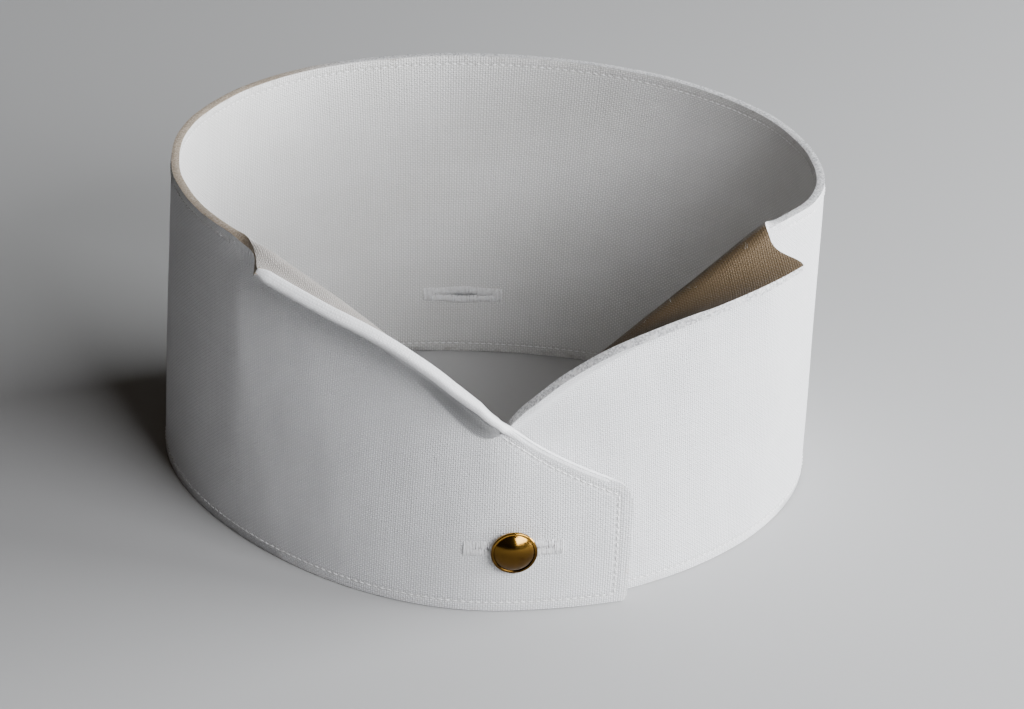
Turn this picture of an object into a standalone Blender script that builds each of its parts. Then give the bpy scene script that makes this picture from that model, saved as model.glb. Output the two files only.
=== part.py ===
"""A detachable wing collar of starched linen, closed at the front by a brass stud.

The cloth is one cut piece: a tall band with a tapering lap at each end and a corner above
each lap that is pressed outwards as a wing. The collar stands on its lower edge, its stud
faces -Y, and its outer lap comes from -X. Sizes are in millimetres until a mesh is made.
"""

import math

import bmesh
import bpy
import numpy as np
from mathutils import Matrix

MM = 0.001

# The middle of the whole object's footprint, which becomes the origin
MIDDLE = (1.21, 0.21)

# The cloth
HEIGHT = 70.5
WALL = 1.65

# The curve of the lower edge's middle line, and of the upper edge above it
LOWER_HALF_WIDTH = 65.5
LOWER_HALF_DEPTH = 54.5
LOWER_EGG = 0.218
UPPER_HALF_WIDTH = 66.0
UPPER_HALF_DEPTH = 55.2
UPPER_EGG = 0.031
UPPER_CENTRE = (0.45, 2.2)
SKEW = math.radians(-6.5)

# The laps, measured along the lower edge from the stud's line
LAP_SPACING = 2.1
LAP_EASE = 9.0
TAB_END = 24.2
TAB_SPRING = 1.7
TAB_TILT = 1.5
UNDER_END = -23.4
CORNER_HEIGHT = 25.0
CORNER_RADIUS = 2.2
LAP_SAG = 0.8
TAB_CHIN = 1.2

# The wings: where each crease starts at the front and ends at the upper edge
CREASE_END = 63.5
RIM_EASE = 28.0
CREASES = {
    "left": {"from": (-2.4, -53.6, 41.0), "to": (-53.0, -30.2, HEIGHT + 0.9), "bow": 1.2, "dip": 5.5},
    "right": {"from": (-3.0, -51.4, 35.2), "to": (51.9, -27.2, HEIGHT + 1.2), "bow": 0.9, "dip": 0.0},
}
# The upper edge is pulled up towards each crease, and on the right inwards, over this length
RIM_PULL = 25.0
RIM_INSET = {"left": 0.0, "right": 0.8}
# Near the front the creases round into each other, this far back and down, over this length
FRONT_BACK = 2.2
FRONT_DROP = 0.4
FRONT_LENGTH = 7.0
# A crease's dip is deepest at this share of its length
DIP_AT = 0.11
LEAN_POWER = 1.6

# Each wing at these shares of its crease: its width, the degrees it is folded, the roll's radius.
# Its short edge is cut back in a hollow, the bite, and its tip is rounded off by the corner
SHARES = (0.0, 0.06, 0.15, 0.25, 0.40, 0.70, 1.00)
WINGS = {
    "left": {
        "width": (0.0, 5.8, 9.0, 9.7, 10.6, 11.9, 12.0),
        "turn": (0, 30, 52, 68, 86, 104, 118),
        "radius": (6.0, 6.0, 6.0, 5.0, 3.6, 3.4, 1.9),
        "curl": 105, "tip": -6.8, "bite": 2.0, "bite_power": 0.8, "corner": 0.0,
    },
    "right": {
        "width": (0.0, 3.0, 6.8, 9.0, 11.5, 13.4, 14.0),
        "turn": (0, 25, 55, 68, 88, 126, 160),
        "radius": (3.6, 3.5, 3.3, 3.1, 2.8, 2.3, 1.7),
        "curl": 55, "tip": 0.0, "bite": 2.6, "bite_power": 1.5, "corner": 0.8,
    },
}

# The buttonholes
SLOT_HEIGHT = 14.0
SLOT_CENTRE = 0.6
SLOT_LENGTH = 18.7
SLOT_NARROW = 0.8
SLOT_OPEN = 3.9
SLOT_SOFT = 2.9
BACK_SLOT_LENGTH = 16.0
BACK_SLOT_OPEN = 1.6
EDGING_WIDTH = 1.4
EDGING_THICK = 0.35
GAP = 0.3

# The stud
HEAD_RADIUS = 4.7
HEAD_RISE = 2.3
SHANK_RADIUS = 1.5
FOOT_RADIUS = 6.2
FOOT_THICK = 0.9

# How finely the cloth is divided
TAB_STEP = 1.87
CREASE_COLUMNS = 24
BACK_COLUMNS = 26
FLAP_ROWS = 11
UPPER_ROWS = 4
FLAP_CROWDING = 1.35

LINEN = (0.86, 0.85, 0.83, 1.0)
THREAD = (0.80, 0.79, 0.76, 1.0)
BRASS = (0.74, 0.53, 0.22, 1.0)


def clear_scene():
    for obj in list(bpy.data.objects):
        bpy.data.objects.remove(obj, do_unlink=True)


def material(name, colour, roughness, metallic):
    made = bpy.data.materials.new(name)
    made.use_nodes = True
    shader = made.node_tree.nodes["Principled BSDF"]
    shader.inputs["Base Color"].default_value = colour
    shader.inputs["Roughness"].default_value = roughness
    shader.inputs["Metallic"].default_value = metallic
    made.diffuse_color = colour
    return made


def ease(x):
    """A smooth step from 0 to 1."""
    x = min(max(x, 0.0), 1.0)
    return x * x * (3 - 2 * x)


def unit(vector):
    return vector / np.linalg.norm(vector)


def oval(angle, half_width, half_depth, egg, centre=(0.0, 0.0)):
    """A point of an egg-shaped oval seen from above, 0 at its narrow front, turned by the skew."""
    x = half_width * math.sin(angle) * (1 - egg * math.cos(angle)) + centre[0]
    y = -half_depth * math.cos(angle) + centre[1]
    return np.array([
        x * math.cos(SKEW) - y * math.sin(SKEW),
        x * math.sin(SKEW) + y * math.cos(SKEW),
        0.0,
    ])


def lower_oval(angle):
    return oval(angle, LOWER_HALF_WIDTH, LOWER_HALF_DEPTH, LOWER_EGG)


def upper_oval(angle):
    return oval(angle, UPPER_HALF_WIDTH, UPPER_HALF_DEPTH, UPPER_EGG, UPPER_CENTRE)


def upper_angle(point):
    """The angle on the upper oval whose direction is that of a point."""
    x = point[0] * math.cos(SKEW) + point[1] * math.sin(SKEW) - UPPER_CENTRE[0]
    y = -point[0] * math.sin(SKEW) + point[1] * math.cos(SKEW) - UPPER_CENTRE[1]
    return math.atan2(x / UPPER_HALF_WIDTH, -y / UPPER_HALF_DEPTH)


class LowerEdge:
    """The lower edge's middle line, by the length along it from the stud's line."""

    def __init__(self, steps=1440):
        angles = np.linspace(-math.pi, math.pi, steps + 1)
        self.points = np.array([lower_oval(angle) for angle in angles])
        arc = np.concatenate([[0], np.cumsum(np.linalg.norm(np.diff(self.points, axis=0), axis=1))])
        front = self.points[:, 1] < 0
        start = np.interp(0.0, self.points[front, 0], arc[front])
        self.along = arc - start
        self.round = arc[-1]
        self.back = self.round / 2

    def point(self, w):
        w = (w - self.along[0]) % self.round + self.along[0]
        return np.array([np.interp(w, self.along, self.points[:, axis]) for axis in range(3)])

    def outward(self, w):
        ahead = self.point(w + 0.5) - self.point(w - 0.5)
        return unit(np.array([ahead[1], -ahead[0], 0.0]))


EDGE = LowerEdge()
SIGN = {"left": -1, "right": 1}


def straight_crease(side, share):
    """A point of the crease without its dip, from the front (0) to the upper edge (1)."""
    start = np.array(CREASES[side]["from"])
    end = np.array(CREASES[side]["to"])
    run = unit(end - start)
    outward = unit(np.array([run[1], -run[0], 0.0]) * SIGN[side])
    soft = math.exp(-share * np.linalg.norm(end - start) / FRONT_LENGTH)
    front = soft * np.array([0.0, FRONT_BACK, -FRONT_DROP])
    return start + share * (end - start) + 4 * share * (1 - share) * CREASES[side]["bow"] * outward + front


def crease_share(side, w):
    """How far along the crease lies the column at w."""
    start = CREASES[side]["from"][0]
    return (SIGN[side] * w - SIGN[side] * start) / (CREASE_END - SIGN[side] * start)


def rim(side, w):
    """A point of the upper edge, from the crease's end round to the back."""
    corner = np.array(CREASES[side]["to"])
    first = upper_angle(corner)
    last = upper_angle(EDGE.point(EDGE.back))
    last += 2 * math.pi * SIGN[side] * (last * SIGN[side] < 0)
    share = (abs(w) - CREASE_END) / (EDGE.back - CREASE_END)
    point = upper_oval(first + (last - first) * share)
    shift = (corner - upper_oval(first)) * (1.0, 1.0, 0.0)
    past = abs(w) - CREASE_END
    left = max(0.0, 1 - past / RIM_EASE) ** 2
    inset = RIM_INSET[side] * ease(past / 8.0) * ease((32.0 - past) / 16.0)
    point = point + shift * left - inset * unit(point * (1.0, 1.2, 0.0))
    point[2] = HEIGHT + (corner[2] - HEIGHT) * ease(1 - past / RIM_PULL)
    return point


def foot_of(side, w):
    """The lower edge under a column: the right side lies inside the left where they lap."""
    inset = LAP_SPACING * (1 - ease(w / CREASE_END)) if side == "right" else 0.0
    return EDGE.point(w) - inset * EDGE.outward(w)


def head_of(side, w):
    """The top of a column: on the crease, on the upper edge, or in line with the crease's start."""
    share = crease_share(side, w)
    if share > 1:
        return rim(side, w)
    if share >= 0:
        return straight_crease(side, share)
    start = CREASES[side]["from"]
    return straight_crease(side, 0) + foot_of(side, w) - foot_of(side, start[0])


def wall(side, w, height):
    """The middle of the cloth at a height: upright at the lower edge, then leaning to the top."""
    low, high = foot_of(side, w), head_of(side, w)
    point = low + (high - low) * (height / high[2]) ** LEAN_POWER
    point[2] = height
    return point


def crease(side, share):
    """Where the cloth begins to turn: on the left it dips beside the throat, low on the wall."""
    dip = CREASES[side]["dip"] * share / DIP_AT * math.exp(1 - share / DIP_AT)
    w = CREASES[side]["from"][0] * (1 - share) + SIGN[side] * CREASE_END * share
    return wall(side, w, straight_crease(side, share)[2] - dip)


def outer_place(w, height):
    """The outer lap: the left wall, easing past the stud into a tab that springs off the right wall."""
    w += TAB_TILT * (height / CORNER_HEIGHT - 0.2) * max(0.0, w / TAB_END) ** 2
    share = ease((w - CREASES["left"]["from"][0]) / LAP_EASE)
    spring = TAB_SPRING * max(0.0, w / TAB_END) ** 2
    laid = wall("right", w, height) + (LAP_SPACING + spring) * EDGE.outward(w)
    return (1 - share) * wall("left", w, height) + share * laid


def under_place(w, height):
    """The under lap: the right wall, easing past the stud to lie inside the left wall."""
    share = ease((CREASES["right"]["from"][0] - w) / LAP_EASE)
    laid = wall("left", w, height) - LAP_SPACING * EDGE.outward(w)
    return (1 - share) * wall("right", w, height) + share * laid


def lap_top(w, start, end):
    """The height of a lap's upper edge: a slope down from the crease, then a round corner."""
    from_w, top = start
    share = (w - from_w) / (end - from_w)
    height = top + (CORNER_HEIGHT - top) * share - 4 * LAP_SAG * share * (1 - share)
    into = CORNER_RADIUS - abs(end - w)
    if into > 0:
        height -= CORNER_RADIUS - math.sqrt(CORNER_RADIUS**2 - into**2)
    return height


def back_place(w, height):
    return wall("left", w if w < 0 else w - EDGE.round, height)


def lens(x, wide):
    """Half the width of a buttonhole, x along it from its middle: open only round the shank."""
    return SLOT_NARROW / 2 + (wide - SLOT_NARROW) / 2 * math.exp(-(x / SLOT_SOFT) ** 2)


def columns():
    """Every upright line of points: its place function, w, its top, and its side if it has a flap."""
    made = []
    left_start, right_start = CREASES["left"]["from"], CREASES["right"]["from"]
    count = round((TAB_END - left_start[0]) / TAB_STEP)
    for i in range(count):
        w = TAB_END + (left_start[0] - TAB_END) * (i / count) ** 0.9
        made.append((outer_place, w, lap_top(w, (left_start[0], left_start[2]), TAB_END), None))
    for side, first, last in (("left", 0, CREASE_COLUMNS), ("right", CREASE_COLUMNS, 0)):
        start = CREASES[side]["from"][0]
        step = 1 if last > first else -1
        for i in range(first, last + step, step):
            w = start + (SIGN[side] * CREASE_END - start) * i / CREASE_COLUMNS
            place = lambda w, height, side=side: wall(side, w, height)
            made.append((place, w, crease(side, i / CREASE_COLUMNS)[2], side))
        if side == "left":
            for i in range(1, 2 * BACK_COLUMNS):
                w = -CREASE_END - (EDGE.round - 2 * CREASE_END) * i / (2 * BACK_COLUMNS)
                round_side = "left" if w >= -EDGE.back else "right"
                w = w if round_side == "left" else w + EDGE.round
                place = lambda w, height, side=round_side: wall(side, w, height)
                made.append((place, w, rim(round_side, w)[2], None))
    count = round((right_start[0] - UNDER_END) / TAB_STEP)
    for i in range(1, count + 1):
        w = right_start[0] + (UNDER_END - right_start[0]) * (i / count) ** 1.1
        made.append((under_place, w, lap_top(w, (right_start[0], right_start[2]), UNDER_END), None))
    return made


def slot_at(w):
    """The buttonhole that a column crosses, as half its width there, or None."""
    x = w - SLOT_CENTRE
    if abs(x) <= SLOT_LENGTH / 2:
        return lens(x, SLOT_OPEN)
    x = abs(w) - EDGE.back
    if abs(x) <= BACK_SLOT_LENGTH / 2:
        return lens(x, BACK_SLOT_OPEN)
    return None


def cut_back(side, across):
    """How far the wing's short edge is cut back, from the crease (0) to the free edge (1)."""
    wing = WINGS[side]
    bite = wing["bite"] * max(0.0, math.sin(math.pi * across)) ** wing["bite_power"]
    return bite + wing["corner"] * across**8


def wing_point(side, share, across):
    """The flap's middle surface: rolled over the crease, then out to its free edge."""
    wing = WINGS[side]
    start, end = np.array(CREASES[side]["from"]), np.array(CREASES[side]["to"])
    run = unit(end - start)
    share -= cut_back(side, across) * share**6 / np.linalg.norm(end - start)
    base = crease(side, share)
    w = start[0] + (SIGN[side] * CREASE_END - start[0]) * share
    up = base - wall(side, w, base[2] - 1.0)
    up = unit(up - (up @ run) * run)
    out = unit(np.cross(run, up) * SIGN[side])
    width, turn, radius = (np.interp(share, SHARES, wing[key]) for key in ("width", "turn", "radius"))
    turn = math.radians(turn) + 1e-4
    distance = across * width
    rolled = min(distance, radius * turn)
    angle = rolled / radius
    rest = distance - rolled
    span = max(width - radius * turn, 1e-6)
    curl = math.radians(wing["curl"]) * rest / span * min(span, 8.0) / 8.0
    along_up = radius * math.sin(angle) + rest * math.cos(angle - curl / 2)
    along_out = radius * (1 - math.cos(angle)) + rest * math.sin(angle - curl / 2)
    tip = wing["tip"] * across * share
    return base + along_up * up + along_out * out + tip * run


def collar_sheet():
    """The middle surface of the cloth, as a mesh of quads with its buttonholes left open."""
    sheet = bmesh.new()
    ladders = []
    for index, (place, w, top, side) in enumerate(columns()):
        half = slot_at(w)
        spread = half if half else SLOT_NARROW
        low, high = SLOT_HEIGHT - spread, SLOT_HEIGHT + spread
        foot = TAB_CHIN if index == 0 else 0.0
        heights = [foot, SLOT_HEIGHT / 2, low, high]
        heights += [high + (top - high) * k / UPPER_ROWS for k in range(1, UPPER_ROWS + 1)]
        ladders.append(([sheet.verts.new(place(w, height)) for height in heights], half is not None, side))
    for (left, cut_left, _), (right, cut_right, _) in zip(ladders, ladders[1:]):
        for row in range(len(left) - 1):
            if row == 2 and cut_left and cut_right:
                continue
            sheet.faces.new((left[row], right[row], right[row + 1], left[row + 1]))
    for side in ("left", "right"):
        tops = [ladder[0][-1] for ladder in ladders if ladder[2] == side]
        tops = tops if side == "left" else tops[::-1]
        add_flap(sheet, side, tops)
    bmesh.ops.recalc_face_normals(sheet, faces=sheet.faces)
    return sheet


def add_flap(sheet, side, tops):
    """A fan of rows over one crease: all of them start from its front end."""
    rows = [tops]
    for row in range(1, FLAP_ROWS + 1):
        across = (row / FLAP_ROWS) ** FLAP_CROWDING
        line = [tops[0]]
        for i in range(1, CREASE_COLUMNS + 1):
            line.append(sheet.verts.new(wing_point(side, i / CREASE_COLUMNS, across)))
        rows.append(line)
    for low, high in zip(rows, rows[1:]):
        for i in range(CREASE_COLUMNS):
            corners = [low[i], low[i + 1], high[i + 1], high[i]]
            corners = list(dict.fromkeys(corners))
            if side == "right":
                corners.reverse()
            sheet.faces.new(corners)


def object_from(name, sheet, finish):
    """An object in the scene, moved to the origin and its millimetres turned to metres."""
    bmesh.ops.translate(sheet, vec=(-MIDDLE[0], -MIDDLE[1], 0), verts=sheet.verts)
    bmesh.ops.scale(sheet, vec=(MM, MM, MM), verts=sheet.verts)
    mesh = bpy.data.meshes.new(name)
    sheet.to_mesh(mesh)
    sheet.free()
    obj = bpy.data.objects.new(name, mesh)
    bpy.context.scene.collection.objects.link(obj)
    mesh.materials.append(finish)
    mesh.shade_smooth()
    mesh.set_sharp_from_angle(angle=math.radians(40))
    return obj


def make_collar(finish):
    """The cloth with its thickness, and its lower edge trimmed level."""
    obj = object_from("collar_band", collar_sheet(), finish)
    solid = obj.modifiers.new("Thickness", "SOLIDIFY")
    solid.thickness = WALL * MM
    solid.offset = 0
    solid.use_quality_normals = True
    graph = bpy.context.evaluated_depsgraph_get()
    thick = bpy.data.meshes.new_from_object(obj.evaluated_get(graph))
    obj.modifiers.clear()
    obj.data = thick
    for vertex in thick.vertices:
        if vertex.co.z < WALL / 2 * MM:
            vertex.co.z = 0
    return obj


def edging(name, place, centre, length, wide, outward, finish):
    """The worked edge round a buttonhole, raised from one face of the cloth."""
    ring = bmesh.new()
    near = WALL / 2 + GAP
    steps = 44
    loops = []
    for i in range(steps):
        angle = 2 * math.pi * i / steps
        corners = []
        for grow, lift in ((0.25, near), (EDGING_WIDTH, near),
                           (EDGING_WIDTH, near + EDGING_THICK), (0.25, near + EDGING_THICK)):
            x = (length / 2 + grow) * math.cos(angle)
            half = lens(min(abs(x), length / 2), wide) + grow
            squareness = abs(math.sin(angle)) ** 0.35
            height = SLOT_HEIGHT + math.copysign(half * squareness, math.sin(angle))
            w = centre + x
            face = outward * EDGE.outward(w)
            corners.append(ring.verts.new(place(w, height) + lift * face))
        loops.append(corners)
    for first, second in zip(loops, loops[1:] + loops[:1]):
        for k in range(4):
            ring.faces.new((first[k], first[(k + 1) % 4], second[(k + 1) % 4], second[k]))
    bmesh.ops.recalc_face_normals(ring, faces=ring.faces)
    return object_from(name, ring, finish)


def turned(name, profile, finish, steps=40):
    """A round piece on the stud's axis. The profile's rows are (radius, distance forwards)."""
    line = bmesh.new()
    points = [line.verts.new((radius, 0, forward)) for radius, forward in profile]
    for a, b in zip(points, points[1:]):
        line.edges.new((a, b))
    bmesh.ops.spin(line, geom=line.verts[:] + line.edges[:], cent=(0, 0, 0), axis=(0, 0, 1),
                   angle=2 * math.pi, steps=steps, use_merge=True)
    bmesh.ops.remove_doubles(line, verts=line.verts, dist=1e-4)
    bmesh.ops.recalc_face_normals(line, faces=line.faces)
    bmesh.ops.rotate(line, cent=(0, 0, 0), matrix=Matrix.Rotation(math.pi / 2, 3, "X"), verts=line.verts)
    middle = outer_place(SLOT_CENTRE, SLOT_HEIGHT)
    bmesh.ops.translate(line, vec=(middle[0], middle[1], SLOT_HEIGHT), verts=line.verts)
    return object_from(name, line, finish)


def make_stud(finish):
    """Head, shank and foot. Distances are forwards from the outer lap's middle."""
    seat = WALL / 2 + GAP + EDGING_THICK + GAP
    dome = [(HEAD_RADIUS * 0.86 * math.sin(a), seat + 0.75 + (HEAD_RISE - 0.75) * math.cos(a))
            for a in np.linspace(0, math.pi / 2, 9)]
    bead = [(HEAD_RADIUS - 0.38 + 0.38 * math.cos(a), seat + 0.5 + 0.38 * math.sin(a))
            for a in np.linspace(math.pi * 0.75, -math.pi / 2, 7)]
    socket = [(SHANK_RADIUS + GAP, seat + 0.12), (SHANK_RADIUS + GAP, seat + 0.9), (0, seat + 0.9)]
    turned("stud_head", dome + bead + socket, finish)
    back = -LAP_SPACING - WALL / 2 - GAP - EDGING_THICK - GAP - 0.7
    front = seat + 0.6
    shank = [(0, front), (SHANK_RADIUS, front), (SHANK_RADIUS, back - 0.3), (0, back - 0.3)]
    turned("stud_shank", shank, finish, steps=24)
    foot = [(0, back - 0.6), (SHANK_RADIUS + GAP, back - 0.6), (SHANK_RADIUS + GAP, back),
            (FOOT_RADIUS - 0.4, back), (FOOT_RADIUS, back - 0.45), (FOOT_RADIUS - 0.4, back - FOOT_THICK),
            (2.0, back - FOOT_THICK - 0.6), (0, back - FOOT_THICK - 0.7)]
    turned("stud_foot", foot, finish)


def main():
    clear_scene()
    linen = material("starched_linen", LINEN, 0.75, 0.0)
    thread = material("buttonhole_thread", THREAD, 0.8, 0.0)
    brass = material("polished_brass", BRASS, 0.22, 1.0)
    make_collar(linen)
    edging("buttonhole_front", outer_place, SLOT_CENTRE, SLOT_LENGTH, SLOT_OPEN, 1, thread)
    edging("buttonhole_under", under_place, SLOT_CENTRE, SLOT_LENGTH, SLOT_OPEN, -1, thread)
    edging("buttonhole_back", back_place, EDGE.back, BACK_SLOT_LENGTH, BACK_SLOT_OPEN, 1, thread)
    make_stud(brass)


main()
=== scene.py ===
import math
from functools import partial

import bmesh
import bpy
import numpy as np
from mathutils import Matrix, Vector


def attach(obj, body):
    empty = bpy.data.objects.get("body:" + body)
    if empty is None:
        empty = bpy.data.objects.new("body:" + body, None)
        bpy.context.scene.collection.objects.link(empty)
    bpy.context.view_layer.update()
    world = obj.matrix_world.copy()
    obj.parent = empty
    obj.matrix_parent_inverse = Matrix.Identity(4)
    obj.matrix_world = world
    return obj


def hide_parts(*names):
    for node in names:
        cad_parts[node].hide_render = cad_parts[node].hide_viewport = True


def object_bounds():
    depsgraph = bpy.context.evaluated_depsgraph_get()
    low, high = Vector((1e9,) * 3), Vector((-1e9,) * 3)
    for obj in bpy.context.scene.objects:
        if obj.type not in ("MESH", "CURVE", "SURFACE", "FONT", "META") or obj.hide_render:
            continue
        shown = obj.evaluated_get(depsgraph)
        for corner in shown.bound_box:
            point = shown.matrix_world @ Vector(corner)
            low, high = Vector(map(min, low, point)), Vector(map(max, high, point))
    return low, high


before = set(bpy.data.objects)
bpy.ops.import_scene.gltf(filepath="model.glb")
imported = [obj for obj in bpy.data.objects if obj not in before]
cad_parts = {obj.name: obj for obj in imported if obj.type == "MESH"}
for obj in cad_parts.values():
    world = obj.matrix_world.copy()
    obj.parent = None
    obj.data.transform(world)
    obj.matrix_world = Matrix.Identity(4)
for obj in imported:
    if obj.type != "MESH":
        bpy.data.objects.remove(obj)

# %% [markdown]
# # A stiff wing collar, closed by a brass stud
# A detachable collar is a single band of linen, cut to shape, stiffened with starch and pressed.
# It is buttoned round the neck with a small stud, and its two upper corners are pressed outwards
# into wings. The whole likeness lies in one smooth curved wall, the roll of the two wings, the
# weave, and a few rows of tiny stitches. The frame already holds the solid parts at their real
# size. This lesson keeps that size, and gives each part its full shape and finish.

MM = 0.001
cad_low, cad_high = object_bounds()
cad_size = cad_high - cad_low
print("the solid collar measures", [round(side / MM, 1) for side in cad_size], "mm")

# %% [markdown]
# ## The two edges of the band
# Laid flat, the band is nearly straight. Worn, its lower edge closes into an egg shape that is
# narrow at the throat, and its upper edge is a rounder and slightly larger oval. Bezier curves
# could draw both, but a formula keeps them smooth at any fineness: a point runs round an ellipse,
# and the egg term narrows the front. All is in millimetres until the last step.

# %% The oval of an edge
SKEW = math.radians(-6.5)
LOWER = {"half_width": 65.5, "half_depth": 54.5, "egg": 0.218, "centre": (0.0, 0.0)}
UPPER = {"half_width": 66.0, "half_depth": 55.2, "egg": 0.031, "centre": (0.45, 2.2)}


def turned_by(x, y, angle):
    return x * math.cos(angle) - y * math.sin(angle), x * math.sin(angle) + y * math.cos(angle)


def oval(edge, angle):
    x = edge["half_width"] * math.sin(angle) * (1 - edge["egg"] * math.cos(angle))
    y = -edge["half_depth"] * math.cos(angle)
    return np.array([*turned_by(x + edge["centre"][0], y + edge["centre"][1], SKEW), 0.0])


def upper_angle(point):
    x, y = turned_by(point[0], point[1], -SKEW)
    x, y = x - UPPER["centre"][0], y - UPPER["centre"][1]
    return math.atan2(x / UPPER["half_width"], -y / UPPER["half_depth"])


# %% Walking along the lower edge
EDGE_STOPS = 2881
edge_angles = np.linspace(-math.pi, math.pi, EDGE_STOPS)
edge_points = np.array([oval(LOWER, angle) for angle in edge_angles])
edge_steps = np.linalg.norm(np.diff(edge_points, axis=0), axis=1)
edge_arc = np.concatenate([[0], np.cumsum(edge_steps)])
at_front = edge_points[:, 1] < 0
edge_arc -= np.interp(0.0, edge_points[at_front, 0], edge_arc[at_front])
ROUND = edge_arc[-1] - edge_arc[0]
BACK = ROUND / 2
print(f"the lower edge is {ROUND:.1f} mm round")


def edge_point(w):
    """The place w mm along the lower edge: 0 is at the stud, and w grows towards +X."""
    w = (w - edge_arc[0]) % ROUND + edge_arc[0]
    return np.array([np.interp(w, edge_arc, edge_points[:, axis]) for axis in range(3)])


def unit(vector):
    return vector / np.linalg.norm(vector)


def edge_outward(w):
    ahead = edge_point(w + 0.5) - edge_point(w - 0.5)
    return unit(np.array([ahead[1], -ahead[0], 0.0]))


def ease(x):
    """A smooth rise from 0 to 1."""
    x = min(max(x, 0.0), 1.0)
    return x * x * (3 - 2 * x)


# %% [markdown]
# ## The creases and the rim
# Each wing turns over a crease that climbs from the front of the throat to the upper edge. The
# crease is a gently bowed line, not a straight one, because the cloth is already curved where it
# is pressed, and on the left it dips beside the throat, where the wing opens like a small pocket.
# From the crease's upper end the rim runs round the back, pulled up a little where the wing
# leaves it. These few points decide most of the likeness, so a table holds them.

# %% The creases
HEIGHT = 70.5
CREASE_END = 63.5
CREASES = {
    "left": {
        "from": (-2.4, -53.6, 41.0), "to": (-53.0, -30.2, HEIGHT + 0.9), "bow": 1.2, "dip": 5.5,
    },
    "right": {
        "from": (-3.0, -51.4, 35.2), "to": (51.9, -27.2, HEIGHT + 1.2), "bow": 0.9, "dip": 0.0,
    },
}
SIGN = {"left": -1, "right": 1}
FRONT_BACK = 2.2
FRONT_DROP = 0.4
FRONT_LENGTH = 7.0
DIP_AT = 0.11


def straight_crease(side, share):
    """The crease without its dip, from the throat at share 0 to the rim at share 1."""
    start, end = np.array(CREASES[side]["from"]), np.array(CREASES[side]["to"])
    run = unit(end - start)
    outward = unit(np.array([run[1], -run[0], 0.0]) * SIGN[side])
    bow = 4 * share * (1 - share) * CREASES[side]["bow"]
    soft = math.exp(-share * np.linalg.norm(end - start) / FRONT_LENGTH)
    front = soft * np.array([0.0, FRONT_BACK, -FRONT_DROP])
    return start + share * (end - start) + bow * outward + front


def crease_share(side, w):
    start = CREASES[side]["from"][0]
    return SIGN[side] * (w - start) / (CREASE_END - SIGN[side] * start)


def crease_w(side, share):
    return CREASES[side]["from"][0] * (1 - share) + SIGN[side] * CREASE_END * share


def crease(side, share):
    """Where the cloth begins to turn, a point of the wall."""
    dip = CREASES[side]["dip"] * share / DIP_AT * math.exp(1 - share / DIP_AT)
    return wall(side, crease_w(side, share), straight_crease(side, share)[2] - dip)


# %% The rim
RIM_EASE = 28.0
RIM_PULL = 25.0
RIM_INSET = {"left": 0.0, "right": 0.8}
INSET_FULL = 8.0
INSET_GONE = 32.0
INSET_FADE = 16.0
OUT_FROM_MIDDLE = (1.0, 1.2, 0.0)


def rim(side, w):
    corner = np.array(CREASES[side]["to"])
    first = upper_angle(corner)
    last = upper_angle(edge_point(BACK))
    last += 2 * math.pi * SIGN[side] * (last * SIGN[side] < 0)
    past = abs(w) - CREASE_END
    point = oval(UPPER, first + (last - first) * past / (BACK - CREASE_END))
    shift = (corner - oval(UPPER, first)) * (1.0, 1.0, 0.0)
    inset = RIM_INSET[side] * ease(past / INSET_FULL) * ease((INSET_GONE - past) / INSET_FADE)
    outward = unit(point * OUT_FROM_MIDDLE)
    point = point + shift * max(0.0, 1 - past / RIM_EASE) ** 2 - inset * outward
    point[2] = HEIGHT + (corner[2] - HEIGHT) * ease(1 - past / RIM_PULL)
    return point


# %% [markdown]
# ## The wall and its two laps
# The wall stands upright at its lower edge and leans to meet the crease or the rim. At the front
# the band overlaps itself: the outer lap passes over the stud and springs slightly away, and the
# under lap lies behind. A cloth simulation could find such a shape, but starched linen hardly
# moves, and a blend between two known walls gives the same form with full control.

# %% The wall
LEAN_POWER = 1.6
LAP_SPACING = 2.1


def inset_at(side, w):
    """How far in the right half of the band lies, to pass behind the outer lap."""
    return LAP_SPACING * (1 - ease(w / CREASE_END)) if side == "right" else 0.0


def wall(side, w, height):
    low = edge_point(w) - inset_at(side, w) * edge_outward(w)
    share = crease_share(side, w)
    if share > 1:
        high = rim(side, w)
    elif share >= 0:
        high = straight_crease(side, share)
    else:
        start = CREASES[side]["from"][0]
        start_low = edge_point(start) - inset_at(side, start) * edge_outward(start)
        high = straight_crease(side, 0) + low - start_low
    point = low + (high - low) * (height / high[2]) ** LEAN_POWER
    point[2] = height
    return point


def wall_top(side, w):
    return rim(side, w)[2] if abs(w) > CREASE_END else crease(side, crease_share(side, w))[2]


# %% The two laps
LAP_EASE = 9.0
TAB_END = 24.2
TAB_SPRING = 1.7
TAB_TILT = 1.5
TILT_FROM = 0.2
UNDER_END = -23.4
CORNER_HEIGHT = 25.0


def near_tab_end(w):
    return max(0.0, w / TAB_END) ** 2


def outer_lap(w, height):
    """The lap over the stud, with an end that leans to the right as it rises."""
    w += TAB_TILT * (height / CORNER_HEIGHT - TILT_FROM) * near_tab_end(w)
    share = ease((w - CREASES["left"]["from"][0]) / LAP_EASE)
    spring = TAB_SPRING * near_tab_end(w)
    laid = wall("right", w, height) + (LAP_SPACING + spring) * edge_outward(w)
    return (1 - share) * wall("left", w, height) + share * laid


def under_lap(w, height):
    share = ease((CREASES["right"]["from"][0] - w) / LAP_EASE)
    laid = wall("left", w, height) - LAP_SPACING * edge_outward(w)
    return (1 - share) * wall("right", w, height) + share * laid


# %% [markdown]
# ## Where cloth was cut
# The weave has to follow the cut of the cloth, not the axes of the room: on the wings it runs
# slantwise, because they are the same piece folded over. So each point of the sheet keeps two
# extra things. The first is its place on the flat cut, in millimetres along and up the band. The
# second is how far it lies from the nearest sewn edge, which later sinks the rows of stitches.

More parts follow.
